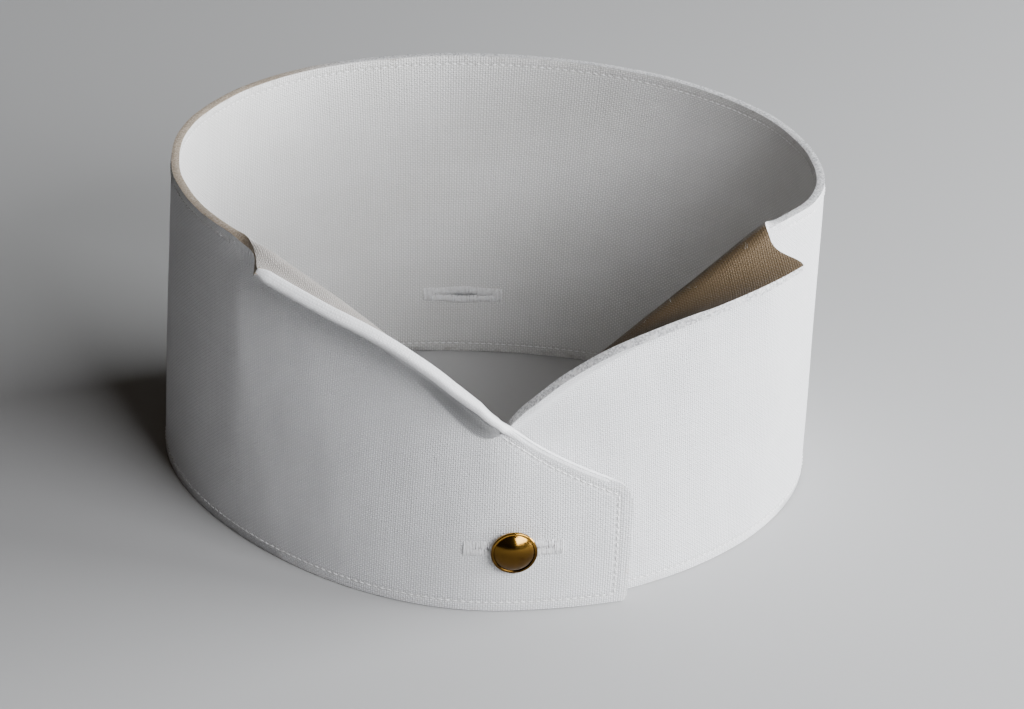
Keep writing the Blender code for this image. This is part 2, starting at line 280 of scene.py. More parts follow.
# %% Slight unevenness of the pressed cloth
# Each row: waves round the band, waves up it (per mm), start of the wave, and height in mm
RIPPLES = (
    (5, 0.031, 0.4, 0.08),
    (11, -0.055, 2.1, 0.06),
    (17, 0.083, 4.0, 0.05),
    (26, -0.12, 1.2, 0.03),
    (41, 0.16, 5.1, 0.02),
)
RIPPLE_FROM = -4.0
RIPPLE_EASE = 16.0


def ripple(w, height):
    waves = sum(tall * math.sin(2 * math.pi * turns * w / ROUND + rise * height + start)
                for turns, rise, start, tall in RIPPLES)
    return waves * ease((height - RIPPLE_FROM) / RIPPLE_EASE)


# %% The upper edges of the laps
CORNER_RADIUS = 3.0
LAP_SAG = 0.8


def lap_top(w, start, end):
    share = (w - start[0]) / (end - start[0])
    height = start[2] + (CORNER_HEIGHT - start[2]) * share - 4 * LAP_SAG * share * (1 - share)
    into = CORNER_RADIUS - abs(end - w)
    return height - (CORNER_RADIUS - math.sqrt(CORNER_RADIUS**2 - into**2) if into > 0 else 0.0)


# %% How far a point is from a sewn edge
STITCH_IN = 1.9
LAP_TOP_STITCH = 2.3
LAP_END_STITCH = 2.8
LAP_END_SLACK = 0.05
FAR_FROM_SEAM = 9.0


def lap_edge_distance(w, height, start, end):
    """The rows lie further in on a lap, so its distances are drawn in to match STITCH_IN."""
    slope = math.atan2(start[2] - CORNER_HEIGHT, abs(end - start[0]))
    from_top = (lap_top(w, start, end) - height) * math.cos(slope)
    from_end = abs(end - w) + LAP_END_SLACK
    return STITCH_IN * min(from_top / LAP_TOP_STITCH, from_end / LAP_END_STITCH)


def edge_distance(near, w, height, top):
    if near == "wing":
        return min(height, FAR_FROM_SEAM)
    if near == "rim":
        return min(height, top - height)
    return min(height, lap_edge_distance(w, height, *near))


# %% The sheet as upright lines of points
LAP_COLUMNS = 30
CREASE_COLUMNS = 72
BACK_COLUMNS = 112
OUTER_CROWDING = 1.15
UNDER_CROWDING = 0.9
TO_CUT = {"left": 0.0, "right": -ROUND}


def wing_line(side, i):
    w = crease_w(side, i / CREASE_COLUMNS)
    return partial(wall, side), w, wall_top(side, w), side, TO_CUT[side], "wing"


def columns():
    """Each line: its form, w, top, its wing's side, the way to the flat cut, the edge near it."""
    left, right = CREASES["left"]["from"], CREASES["right"]["from"]
    for i in range(LAP_COLUMNS):
        w = TAB_END + (left[0] - TAB_END) * (i / LAP_COLUMNS) ** OUTER_CROWDING
        yield outer_lap, w, lap_top(w, left, TAB_END), None, 0.0, (left, TAB_END)
    for i in range(CREASE_COLUMNS + 1):
        yield wing_line("left", i)
    for i in range(1, BACK_COLUMNS):
        cut = -CREASE_END - (ROUND - 2 * CREASE_END) * i / BACK_COLUMNS
        side = "left" if cut >= -BACK else "right"
        w = cut - TO_CUT[side]
        yield partial(wall, side), w, wall_top(side, w), None, TO_CUT[side], "rim"
    for i in range(CREASE_COLUMNS, -1, -1):
        yield wing_line("right", i)
    for i in range(1, LAP_COLUMNS + 1):
        w = right[0] + (UNDER_END - right[0]) * (i / LAP_COLUMNS) ** UNDER_CROWDING
        yield under_lap, w, lap_top(w, right, UNDER_END), None, -ROUND, (right, UNDER_END)


upright_lines = list(columns())
print(len(upright_lines), "upright lines of points make the band")

# %% [markdown]
# ## The roll of a wing
# A pressed wing isn't a sharp fold. The linen rolls over a rounded crease, wide beside the throat
# and tighter towards the corner, then runs on almost flat and curls back slightly at its free
# edge. In cross-section that is an arc followed by a curve of slowly growing turn, so each wing is
# a fan of such sections, worked out from small tables: how wide the wing is, how far it is folded
# and how tight the roll is along the crease.

# %% The sizes of the wings
SHARES = (0.0, 0.06, 0.15, 0.25, 0.40, 0.70, 1.00)
# The last two entries of each wing set its painted shade: on its turned-out face, and in the fold
# beside the throat.
WINGS = {
    "left": {
        "width": (0.0, 5.8, 9.0, 9.7, 10.6, 11.9, 12.0),
        "turn": (0, 30, 52, 68, 86, 104, 118),
        "radius": (6.0, 6.0, 6.0, 5.0, 3.6, 3.4, 1.9),
        "curl": 105, "tip": -6.8, "bite": 2.0, "bite_power": 0.8, "corner": 0.0,
        "face_shade_paint": 0.55, "fold_shade_strength": 1.0,
    },
    "right": {
        "width": (0.0, 3.0, 6.8, 9.0, 11.5, 13.4, 14.0),
        "turn": (0, 25, 55, 68, 88, 126, 160),
        "radius": (3.6, 3.5, 3.3, 3.1, 2.8, 2.3, 1.7),
        "curl": 55, "tip": 0.0, "bite": 2.6, "bite_power": 1.5, "corner": 0.8,
        "face_shade_paint": 1.0, "fold_shade_strength": 0.0,
    },
}
CORNER_POWER = 8
BITE_FADE = 6


def along_wing(side, key, share):
    return np.interp(share, SHARES, WINGS[side][key])


def cut_back(side, share, across, length):
    """The share along the crease, less what the wing's end edge is hollowed by."""
    wing = WINGS[side]
    bite = wing["bite"] * max(0.0, math.sin(math.pi * across)) ** wing["bite_power"]
    bite += wing["corner"] * across**CORNER_POWER
    return share - bite * share**BITE_FADE / length


# %% The section of a wing
FULL_CURL_SPAN = 8.0


def wing_point(side, share, across):
    """A point of a wing: share along its crease, across from the crease to the free edge."""
    wing = WINGS[side]
    start, end = np.array(CREASES[side]["from"]), np.array(CREASES[side]["to"])
    run = unit(end - start)
    share = cut_back(side, share, across, np.linalg.norm(end - start))
    base = crease(side, share)
    up = base - wall(side, crease_w(side, share), base[2] - 1.0)
    up = unit(up - (up @ run) * run)
    out = unit(np.cross(run, up) * SIGN[side])
    width, turn, radius = (along_wing(side, key, share) for key in ("width", "turn", "radius"))
    turn = math.radians(turn) + 1e-4
    distance = across * width
    rolled = min(distance, radius * turn)
    angle, rest = rolled / radius, distance - rolled
    span = max(width - radius * turn, 1e-6)
    curl = math.radians(wing["curl"]) * min(span, FULL_CURL_SPAN) / FULL_CURL_SPAN * rest / span
    along_up = radius * math.sin(angle) + rest * math.cos(angle - curl / 2)
    along_out = radius * (1 - math.cos(angle)) + rest * math.sin(angle - curl / 2)
    return base + along_up * up + along_out * out + wing["tip"] * across * share * run


# %% The same point on the flat cut, before the corner was folded
FLAT_CREASE = 69.0


def wing_cut(side, share, across):
    share = cut_back(side, share, across, FLAT_CREASE)
    start, height = CREASES[side]["from"][0], CREASES[side]["from"][2]
    run = np.array([SIGN[side] * CREASE_END - start, HEIGHT - height])
    normal = unit(np.array([-run[1], run[0]])) * -SIGN[side]
    on_crease = np.array([start + share * run[0], crease(side, share)[2]])
    return on_crease + across * along_wing(side, "width", share) * normal


# %% The slits of the buttonholes
SLOT_HEIGHT = 14.0
SLOT_CENTRE = 0.6
SLOT_LENGTH = 18.7
SLOT_NARROW = 0.8
SLOT_OPEN = 3.9
SLOT_SOFT = 2.9
BACK_SLOT_LENGTH = 16.0
BACK_SLOT_OPEN = 1.6
FOOT_ROWS = 6
UPPER_ROWS = 22


def lens(x, wide):
    """Half the width of a slit, which is open only in its middle, round the stud's shank."""
    return SLOT_NARROW / 2 + (wide - SLOT_NARROW) / 2 * math.exp(-(x / SLOT_SOFT) ** 2)


def slot_half(w):
    """Half the height of the slit that crosses this line, or None."""
    for x, length, wide in ((w - SLOT_CENTRE, SLOT_LENGTH, SLOT_OPEN),
                            (abs(w) - BACK, BACK_SLOT_LENGTH, BACK_SLOT_OPEN)):
        if abs(x) <= length / 2:
            return lens(x, wide)
    return None


def heights_of(w, top, foot):
    """The heights of a line's points, with two beside the slit, and whether a slit is there."""
    half = slot_half(w)
    spread = half or SLOT_NARROW
    low, high = SLOT_HEIGHT - spread, SLOT_HEIGHT + spread
    below = [foot + (low - foot) * k / FOOT_ROWS for k in range(FOOT_ROWS + 1)]
    above = [high + (top - high) * k / UPPER_ROWS for k in range(UPPER_ROWS + 1)]
    return below + above, half is not None


# %% A sheet whose points remember their cut
def new_sheet():
    sheet = bmesh.new()
    sheet.verts.layers.float_vector.new("cut")
    # The two masks below hold painted shade: on the wings' turned-out faces and in the fold.
    sheet.verts.layers.float.new("face_shade_mask")
    sheet.verts.layers.float.new("fold_shade_mask")
    return sheet


def new_point(sheet, position, cut, from_seam, face_shade_mask=0.0, fold_shade_mask=0.0):
    vertex = sheet.verts.new(position)
    vertex[sheet.verts.layers.float_vector["cut"]] = (cut[0], cut[1], from_seam)
    vertex[sheet.verts.layers.float["face_shade_mask"]] = face_shade_mask
    vertex[sheet.verts.layers.float["fold_shade_mask"]] = fold_shade_mask
    return vertex


# %% The wing's part of the sheet
FLAP_ROWS = 20
FLAP_CROWDING = 1.25
FACE_SHADE_FULL = 0.25
RIPPLE_REACH = 1.6


def fold_shade(side, share, across):
    """How much shade is painted in the fold beside the throat, where light hardly comes."""
    beside_throat = ease(share / 0.03) * ease((0.42 - share) / 0.26)
    return WINGS[side]["fold_shade_strength"] * beside_throat * ease(across / 0.12)


def add_wing(sheet, side, tops):
    rows = [tops]
    for row in range(1, FLAP_ROWS + 1):
        across = (row / FLAP_ROWS) ** FLAP_CROWDING
        # Painted shade on the turned-out face, stronger on the right wing than on the left.
        face_shade_mask = ease(across / FACE_SHADE_FULL) * WINGS[side]["face_shade_paint"]
        line = [tops[0]]
        for i in range(1, CREASE_COLUMNS + 1):
            share = i / CREASE_COLUMNS
            w = crease_w(side, share)
            fading = 1 - ease(across * RIPPLE_REACH)
            waved = ripple(w, crease(side, share)[2]) * fading * edge_outward(w)
            cut = wing_cut(side, share, across) + (TO_CUT[side], 0.0)
            line.append(new_point(sheet, wing_point(side, share, across) + waved, cut,
                                  FAR_FROM_SEAM, face_shade_mask, fold_shade(side, share, across)))
        rows.append(line)
    for low, high in zip(rows, rows[1:]):
        for i in range(CREASE_COLUMNS):
            corners = list(dict.fromkeys([low[i], low[i + 1], high[i + 1], high[i]]))
            sheet.faces.new(corners if side == "left" else corners[::-1])


# %% A softer corner where the upper edge turns into a wing
# Each corner: how far it is softened in mm, in how many rounds, and how much the inside follows
SOFT_CORNERS = {"left": (8.0, 40, 0.7), "right": (4.0, 12, 0.5)}
SOFT_FADE = 0.6


def soften_corner(sheet, side):
    """Draws each point near the corner towards its neighbours, and leaves the edge an edge."""
    reach, rounds, inside_pull = SOFT_CORNERS[side]
    middle = Vector(CREASES[side]["to"])
    near = [vertex for vertex in sheet.verts if (vertex.co - middle).length < reach]
    others, pulls = {}, {}
    for vertex in near:
        along_edge = [e.other_vert(vertex) for e in vertex.link_edges if e.is_boundary]
        others[vertex] = along_edge or [e.other_vert(vertex) for e in vertex.link_edges]
        pulls[vertex] = ease((reach - (vertex.co - middle).length) / (SOFT_FADE * reach))
        pulls[vertex] *= 1.0 if along_edge else inside_pull
    for _ in range(rounds):
        moved = {v: sum((o.co for o in others[v]), Vector()) / len(others[v]) - v.co
                 for v in near}
        for vertex, step in moved.items():
            vertex.co += 0.5 * pulls[vertex] * step


# %% The whole sheet
TAB_CHIN = 1.2


def band_sheet():
    sheet = new_sheet()
    ladders = []
    for index, (place, w, top, side, to_cut, near) in enumerate(upright_lines):
        heights, slit_here = heights_of(w, top, TAB_CHIN if index == 0 else 0.0)
        line = [new_point(sheet, place(w, h) + ripple(w, h) * edge_outward(w), (w + to_cut, h),
                          edge_distance(near, w, h, top)) for h in heights]
        ladders.append((line, slit_here, side))
    for (left, left_slit, _), (right, right_slit, _) in zip(ladders, ladders[1:]):
        for row in range(len(left) - 1):
            if row != FOOT_ROWS or not (left_slit and right_slit):
                sheet.faces.new((left[row], right[row], right[row + 1], left[row + 1]))
    for side in ("left", "right"):
        tops = [line[-1] for line, _, wing_side in ladders if wing_side == side]
        add_wing(sheet, side, tops if side == "left" else tops[::-1])
    for side in ("left", "right"):
        soften_corner(sheet, side)
    bmesh.ops.recalc_face_normals(sheet, faces=sheet.faces)
    return sheet


def flat_area(sheet):
    """The area of the cloth as it was cut, in square metres."""
    layer = sheet.verts.layers.float_vector["cut"]
    total = 0.0
    for face in sheet.faces:
        corners = [vertex[layer] for vertex in face.verts]
        turns = zip(corners, corners[1:] + corners[:1])
        total += abs(sum(a.x * b.y - b.x * a.y for a, b in turns)) / 2
    return total * MM**2


band = band_sheet()
cut_area = flat_area(band)
print(f"the sheet has {len(band.faces)} faces, from {cut_area:.4f} square metres of cloth")

# %% [markdown]
# ## Giving the cloth its thickness
# Four plies of linen make a wall of about 1.6 mm. Blender's Solidify gives the sheet that
# thickness on both sides of its middle surface, and a small Bevel rounds every cut edge, because
# the soft highlight along the edge tells the eye how thick the cloth is.

# %% From a sheet to an object
MIDDLE = (1.21, 0.21)
WALL = 1.65
EDGE_ROUNDING = 0.42


def into_metres(shape):
    bmesh.ops.translate(shape, vec=(-MIDDLE[0], -MIDDLE[1], 0), verts=shape.verts)
    bmesh.ops.scale(shape, vec=(MM, MM, MM), verts=shape.verts)


def new_object(name, data):
    made = bpy.data.objects.new(name, data)
    bpy.context.scene.collection.objects.link(made)
    return made


def object_of(name, shape, *finishes):
    into_metres(shape)
    mesh = bpy.data.meshes.new(name)
    shape.to_mesh(mesh)
    shape.free()
    made = new_object(name, mesh)
    for finish in finishes:
        mesh.materials.append(finish)
    mesh.shade_smooth()
    return made


def apply_modifiers(made):
    graph = bpy.context.evaluated_depsgraph_get()
    mesh = bpy.data.meshes.new_from_object(made.evaluated_get(graph), depsgraph=graph)
    made.modifiers.clear()
    made.data = mesh
    return mesh


def thickened(made):
    solid = made.modifiers.new("Plies", "SOLIDIFY")
    solid.thickness = WALL * MM
    solid.offset = 0
    solid.use_quality_normals = True
    solid.material_offset = 1
    solid.material_offset_rim = 2
    round_edge = made.modifiers.new("Soft edge", "BEVEL")
    round_edge.width = EDGE_ROUNDING * MM
    round_edge.segments = 3
    round_edge.limit_method = "ANGLE"
    round_edge.angle_limit = math.radians(58)
    mesh = apply_modifiers(made)
    for vertex in mesh.vertices:
        vertex.co.z = max(vertex.co.z, 0.0)
    mesh.shade_smooth()
    return made


# %% [markdown]
# ## Shader maths that reads like a sum
# A material in Blender is a graph of small nodes. Wiring them by hand hides the idea, so a socket
# is wrapped in a class that understands plus, minus and times, and each sign adds a Math node.
# Any other node comes from one method that takes its type, its settings and its inputs.

# %% A socket that takes Python's arithmetic
class Link:
    def __init__(self, finish, socket):
        self.finish = finish
        self.socket = socket

    def output(self, index):
        return Link(self.finish, self.socket.node.outputs[index])

    def maths(self, operation, a, b):
        return self.finish.node("ShaderNodeMath", {"operation": operation}, {0: a, 1: b})

    def __add__(self, other):
        return self.maths("ADD", self, other)

    __radd__ = __add__

    def __sub__(self, other):
        return self.maths("SUBTRACT", self, other)

    def __rsub__(self, other):
        return self.maths("SUBTRACT", other, self)

    def __mul__(self, other):
        return self.maths("MULTIPLY", self, other)

    __rmul__ = __mul__

    def __abs__(self):
        return self.maths("ABSOLUTE", self, 0.0)


# %% A material and the method that adds its nodes
class Finish:
    def __init__(self, name, **constants):
        self.material = bpy.data.materials.new(name)
        self.material.use_nodes = True
        self.tree = self.material.node_tree
        self.shader = self.tree.nodes["Principled BSDF"]
        for socket, value in constants.items():
            self.shader.inputs[socket.replace("_", " ")].default_value = value

    def node(self, kind, settings=None, inputs=None, out=0):
        made = self.tree.nodes.new(kind)
        for key, value in (settings or {}).items():
            setattr(made, key, value)
        for key, value in (inputs or {}).items():
            self.feed(made.inputs[key], value)
        return Link(self, made.outputs[out])

    def feed(self, socket, value):
        if isinstance(value, Link):
            self.tree.links.new(value.socket, socket)
        else:
            socket.default_value = value

    def set(self, socket, value):
        self.feed(self.shader.inputs[socket], value)

    def mix(self, factor, a, b):
        inputs = {0: factor, 6: a, 7: b}
        return self.node("ShaderNodeMix", {"data_type": "RGBA"}, inputs, out=2)

    def clamped(self, value):
        return self.node("ShaderNodeClamp", None, {0: value})

    def sine(self, value):
        return self.node("ShaderNodeMath", {"operation": "SINE"}, {0: value, 1: 0.0})

    def step(self, value, low, high):
        """A smooth rise from 0 at low to 1 at high."""
        inputs = {0: value, 1: low, 2: high, 3: 0.0, 4: 1.0}
        return self.node("ShaderNodeMapRange", {"interpolation_type": "SMOOTHSTEP"}, inputs)

    def stored(self, name, out):
        """What the mesh keeps at each point: output 1 is a vector, output 2 a number."""
        return self.node("ShaderNodeAttribute", {"attribute_name": name}, out=out)

    def place(self):
        """The point's own place in the object, in metres."""
        return self.node("ShaderNodeTexCoord", out=3)

    def speckle(self, vector, scale, detail=2.0, roughness=0.5):
        inputs = {"Vector": vector, "Scale": scale, "Detail": detail, "Roughness": roughness}
        return self.node("ShaderNodeTexNoise", None, inputs)

    def stretched(self, vector, scale):
        settings = {"operation": "MULTIPLY"}
        return self.node("ShaderNodeVectorMath", settings, {0: vector, 1: scale})

    def raise_by(self, height, distance):
        inputs = {"Height": height, "Distance": distance, "Strength": 1.0}
        self.set("Normal", self.node("ShaderNodeBump", None, inputs))


def colour(red, green, blue):
    return (red, green, blue, 1.0)


def darker(tone, share):
    return colour(*(share * part for part in tone))


# %% [markdown]
# ## Starched linen
# The cloth is a fine plain weave of white thread, about twenty threads to the centimetre, pressed
# hard with starch. Close up it shows three things: small pillows where one thread crosses
# another, threads that swell and thin along their length, and a faint unevenness of the starch.
# An image texture would tile and blur, so the weave is worked out from the place on the flat cut:
# the product of two sines is a chequer of pillows, and stretched noise gives the uneven threads.

# %% The weave
WARP_PITCH = 0.50
WEFT_PITCH = 0.43
THREAD_WANDER = 0.30


def cut_of(finish):
    """The place on the flat cut, as a vector, its two parts, and the distance from a seam."""
    vector = finish.stored("cut", 1)
    along = finish.node("ShaderNodeSeparateXYZ", None, {0: vector})
    return vector, along, along.output(1), along.output(2)


def weave(finish, vector, along, up):
    """The threads' pillows, 0 in the gaps and 1 on top, and how thick each thread runs."""
    warp_wander = finish.speckle(finish.stretched(vector, (0.9, 0.10, 0.0)), 1.0)
    weft_wander = finish.speckle(finish.stretched(vector, (0.07, 0.9, 0.0)), 1.0)
    across = finish.sine((along + THREAD_WANDER * warp_wander) * (math.pi / WARP_PITCH))
    over = finish.sine((up + THREAD_WANDER * weft_wander) * (math.pi / WEFT_PITCH))
    chequer = across * over
    pillow = 0.74 * abs(chequer) + 0.26 * chequer + 0.10
    slub_warp = finish.speckle(finish.stretched(vector, (2.1, 0.045, 0.0)), 1.0, 3.0)
    slub_weft = finish.speckle(finish.stretched(vector, (0.035, 2.4, 0.0)), 1.0, 3.0)
    return pillow, 0.6 * slub_warp + 0.4 * slub_weft


# %% The linen
GAP_DARKNESS = 0.46
SLUB_TINT = 0.30
FOLD_SHADE_DARKNESS = 0.80
GROOVE_DEPTH = 0.6
WEAVE_HEIGHT = 0.24


def linen(name, light, shade, wear_and_shade_tone, face_shade_strength, roughness, weave_depth=1.0):
    finish = Finish(name, Specular_IOR_Level=0.42, Sheen_Weight=0.12, Sheen_Roughness=0.45)
    vector, along, up, from_edge = cut_of(finish)
    pillow, slub = weave(finish, vector, along, up)
    gap = 1 - finish.clamped(pillow)
    starch = finish.speckle(finish.stretched(vector, (0.05, 0.06, 0.0)), 1.0, 4.0, 0.55)
    handled = finish.speckle(finish.stretched(vector, (0.35, 0.5, 0.0)), 1.0, 5.0, 0.6)
    groove = 1 - finish.step(abs(from_edge - STITCH_IN), 0.10, 0.75)
    near_edge = 1 - finish.step(from_edge, 0.2, 2.2)

    body = finish.mix(finish.step(starch, 0.35, 0.70), colour(*light), colour(*shade))
    woven = finish.mix(gap * (GAP_DARKNESS * weave_depth), body, darker(shade, 0.50))
    threads = finish.mix(finish.step(slub, 0.48, 0.66) * SLUB_TINT, woven, darker(shade, 0.80))
    # Painted shade in the fold beside the throat, as the stored mask gives it.
    painted_fold_shade = FOLD_SHADE_DARKNESS * finish.stored("fold_shade_mask", 2)
    cloth = finish.mix(painted_fold_shade, threads, darker(shade, 0.30))
    # Real wear along the cut edges, and painted shade in the sunk row of stitches.
    wear_and_groove_shade = near_edge * finish.step(handled, 0.48, 0.72) * 0.35 + groove * 0.10
    # Painted warm shade on the wings' turned-out faces, mixed towards the dark brown tone.
    face_shade_mask = finish.stored("face_shade_mask", 2)
    painted_face_shade = finish.clamped(face_shade_mask * (0.95 + 0.20 * handled)) * face_shade_strength
    finish.set("Base Color", finish.mix(finish.clamped(wear_and_groove_shade + painted_face_shade), cloth, colour(*wear_and_shade_tone)))
    finish.set("Roughness", roughness + 0.14 * gap + 0.10 * (starch - 0.5))
    height = weave_depth * (0.60 * pillow + 0.55 * slub) - GROOVE_DEPTH * groove + 1.0 * starch
    finish.raise_by(height, WEAVE_HEIGHT * MM)
    return finish.material


# %% [markdown]
# The outside is bright and smooth. The inside is a little duller, and where the wings turn it out
# into the air it is painted with shade: a beige on the left, and a warm brown on the right. A mask
# that was stored with the sheet says how far a point belongs to a wing, and a second one paints
# shade into the fold beside the throat. The cut edge is where the plies end: there the weave gives
# way to a fuzzy, mottled line of fibres, with a painted brown shade on the left.

# %% The two faces of the cloth
# Tones for wear at the edges and for painted shade: in the stitch groove, and on the inside of the
# wings.
AGED_AND_GROOVE_SHADE = (0.66, 0.61, 0.54)
WEAR_AND_SHADE_BROWN = (0.095, 0.060, 0.025)
outside = linen("linen_outside", light=(0.84, 0.84, 0.85), shade=(0.79, 0.79, 0.80),
                wear_and_shade_tone=AGED_AND_GROOVE_SHADE, face_shade_strength=0.0, roughness=0.60)
inside = linen("linen_inside", light=(0.81, 0.80, 0.79), shade=(0.76, 0.75, 0.73),
               wear_and_shade_tone=WEAR_AND_SHADE_BROWN, face_shade_strength=1.0, roughness=0.66)

# %% The cut edge
# Painted brown shade on the cut edge: full left of the first X, gone right of the second.
EDGE_SHADE_FULL = -45 * MM
EDGE_SHADE_GONE = -25 * MM


def ply_edge(name):
    finish = Finish(name, Specular_IOR_Level=0.35, Sheen_Weight=0.15)
    place = finish.place()
    sideways = finish.node("ShaderNodeSeparateXYZ", None, {0: place})
    fibres = finish.speckle(place, 2400.0, 4.0, 0.65)
    mottle = finish.speckle(place, 900.0, 3.0, 0.6)
    white, grey = colour(0.80, 0.80, 0.81), colour(0.36, 0.36, 0.37)
    fuzzy = finish.mix(finish.step(fibres, 0.40, 0.60), white, grey)
    mottled = finish.mix(finish.step(mottle, 0.45, 0.60) * 0.6, fuzzy, colour(0.74, 0.73, 0.72))
    tan, umber = colour(0.46, 0.36, 0.24), colour(0.28, 0.20, 0.12)
    brown = finish.mix(finish.step(fibres, 0.35, 0.65), tan, umber)
    # Painted shade: the cut edge turns brown towards the collar's left side.
    painted_edge_shade = 0.85 * (1 - finish.step(sideways, EDGE_SHADE_FULL, EDGE_SHADE_GONE))
    finish.set("Base Color", finish.mix(painted_edge_shade, mottled, brown))
    finish.set("Roughness", 0.72 + 0.2 * (fibres - 0.5))
    finish.raise_by(fibres + 0.6 * mottle, 0.16 * MM)
    return finish.material


edge = ply_edge("linen_edge")
print("linens:", [finish.name for finish in (outside, inside, edge)])

# %% The cloth of the collar
collar_cloth = thickened(object_of("collar_cloth", band, outside, inside, edge))
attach(collar_cloth, "root")
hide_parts("collar_band")

# %% [markdown]
# ## The turned edge
# Along the left wing and the outer lap the outer ply is wrapped round the edge before it is sewn,
# so this edge is thicker than the rest and smooth. As part of the sheet its roundness would need
# many narrow rows, so it is a roll of its own: a square section with soft corners, swept along
# the edge, thick on the wing and slimmer on the lap. Its linen is smoother and brighter.

# %% Places along the turned edge
WING_STOPS = 150
LAP_STOPS = 70
THROAT_SHARE = 0.03
WING_HEM = 1.28
THROAT_HEM = 1.08
LAP_HEM = 0.93


def edge_stops():
    """A point of the edge, the way into the cloth, the cloth's normal, half the hem's thickness."""
    for share in np.linspace(1.0, THROAT_SHARE, WING_STOPS):
        here, inner = wing_point("left", share, 1.0), wing_point("left", share, 0.94)
        ahead, behind = max(share - 0.01, 0.0), min(share + 0.01, 1.0)
        run = wing_point("left", ahead, 1.0) - wing_point("left", behind, 1.0)
        into = unit(inner - here)
        half = WING_HEM + (THROAT_HEM - WING_HEM) * ease((0.25 - share) / 0.25)
        yield here, into, unit(np.cross(run, into)), half
    start = CREASES["left"]["from"]
    for w in np.linspace(start[0] + 0.8, TAB_END - CORNER_RADIUS, LAP_STOPS):
        top = lap_top(w, start, TAB_END)
        here = outer_lap(w, top) + ripple(w, top) * edge_outward(w)
        into = unit(outer_lap(w - 0.4, top - 1.0) - outer_lap(w, top))
        half = LAP_HEM + (THROAT_HEM - LAP_HEM) * ease(1 - (w - start[0]) / 6.0)
        yield here, into, -edge_outward(w), half


def smoothed(stops, join, reach=8, rounds=8):
    """Evens out the stops near the place where the wing's edge becomes the lap's."""
    for _ in range(rounds):
        for k in range(join - reach, join + reach):
            before, here, after = stops[k - 1], stops[k], stops[k + 1]
            place, into, normal = (0.25 * before[i] + 0.5 * here[i] + 0.25 * after[i]
                                   for i in range(3))
            stops[k] = (place, unit(into), unit(normal), here[3])
    return stops


# %% The hem's section, swept along those places
HEM_SIDES = 16
HEM_TAPER = 9
SQUARENESS = 0.65
HEM_DEPTH = 0.80
HEM_INSIDE = 0.60


def squared(part):
    """Pushes a circle's sine or cosine outwards, so that the circle becomes a soft square."""
    return math.copysign(abs(part) ** SQUARENESS, part)


def skin(shape, loops):
    """The faces between neighbouring loops of points."""
    for low, high in zip(loops, loops[1:]):
        for s in range(len(low)):
            after = (s + 1) % len(low)
            shape.faces.new((low[s], low[after], high[after], high[s]))


def turned_edge():
    shape = new_sheet()
    stops = smoothed(list(edge_stops()), WING_STOPS)
    loops, length = [], 0.0
    for k, (here, into, normal, half) in enumerate(stops):
        length += np.linalg.norm(here - stops[k - 1][0]) if k else 0.0
        taper = min(ease((k + 2) / HEM_TAPER), ease((len(stops) + 1 - k) / HEM_TAPER))
        loop = []
        for s in range(HEM_SIDES):
            angle = 2 * math.pi * s / HEM_SIDES
            flat, tall = squared(math.cos(angle)), squared(math.sin(angle))
            reach = half * (HEM_DEPTH * flat * into + tall * normal) * (0.45 + 0.55 * taper)
            point = here + (HEM_INSIDE - 0.2 * (1 - taper)) * into + reach
            loop.append(new_point(shape, point, (length, half * angle), FAR_FROM_SEAM))
        loops.append(loop)
    skin(shape, loops)
    shape.faces.new(loops[0])
    shape.faces.new(loops[-1][::-1])
    bmesh.ops.recalc_face_normals(shape, faces=shape.faces)
    return shape


smooth_linen = linen("linen_hem", light=(0.88, 0.88, 0.89), shade=(0.86, 0.86, 0.87),
                     wear_and_shade_tone=AGED_AND_GROOVE_SHADE, face_shade_strength=0.0, roughness=0.55, weave_depth=0.4)
turned_hem = object_of("turned_hem", turned_edge(), smooth_linen)
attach(turned_hem, "root")
print("turned hem", len(turned_hem.data.polygons), "faces")

# %% [markdown]
# ## Rows of stitches
# A row of machine stitches runs about 2 mm inside the lower edge, the rim and the laps, and holds
# the plies together. Each stitch is a short white thread that dips into the cloth at both ends. A
# painted line would look flat at this size, so each stitch is a small tapered grain, half sunk
# and a little different from its neighbours. The grains are all one mesh.

# %% Places on the cloth's two faces
rng = np.random.default_rng(7)


def face_frame(place, w, height, face, lift=0.0):
    """A point on one face of the cloth, with the ways along, up and outwards there."""
    here = place(w, height) + ripple(w, height) * edge_outward(w)
    along = unit(place(w + 0.2, height) - place(w - 0.2, height))
    up = unit(place(w, height + 0.2) - place(w, height - 0.2))
    outward = unit(np.cross(along, up))
    return here + face * (WALL / 2 + lift) * outward, along, up, face * outward


def add_grain(shape, start, end, outward, radius, bulge, sides=6, rings=6):
    """A tapered thread from start to end that bows outwards by bulge."""
    across = unit(np.cross(outward, unit(end - start)))
    loops = []
    for k in range(rings):
        share = k / (rings - 1)
        swell = math.sin(math.pi * (0.08 + 0.84 * share))
        centre = start + (end - start) * share + bulge * (swell - 0.25) * outward
        loop = []
        for s in range(sides):
            angle = 2 * math.pi * s / sides
            way = math.cos(angle) * across + math.sin(angle) * outward
            loop.append(shape.verts.new(centre + radius * (0.35 + 0.65 * swell) * way))
        loops.append(loop)
    skin(shape, loops)
    shape.faces.new(loops[0][::-1])
    shape.faces.new(loops[-1])


# %% Where the rows run
STITCH_PITCH = 1.5
RIM_ROW_FROM = CREASE_END + 6.0


def row_between(place, start, end):
    """Evenly pitched places along a straight row on the flat cut."""
    start, end = np.array(start), np.array(end)
    count = max(2, round(np.linalg.norm(end - start) / STITCH_PITCH))
    for k in range(count):
        middle = start + (end - start) * (k + 0.5) / count
        yield place, middle, (end - start) / count


def half_of(w):
    """The half of the band for a place counted from the stud to the left, all the way round."""
    return ("left", w) if w > -BACK else ("right", w + ROUND)


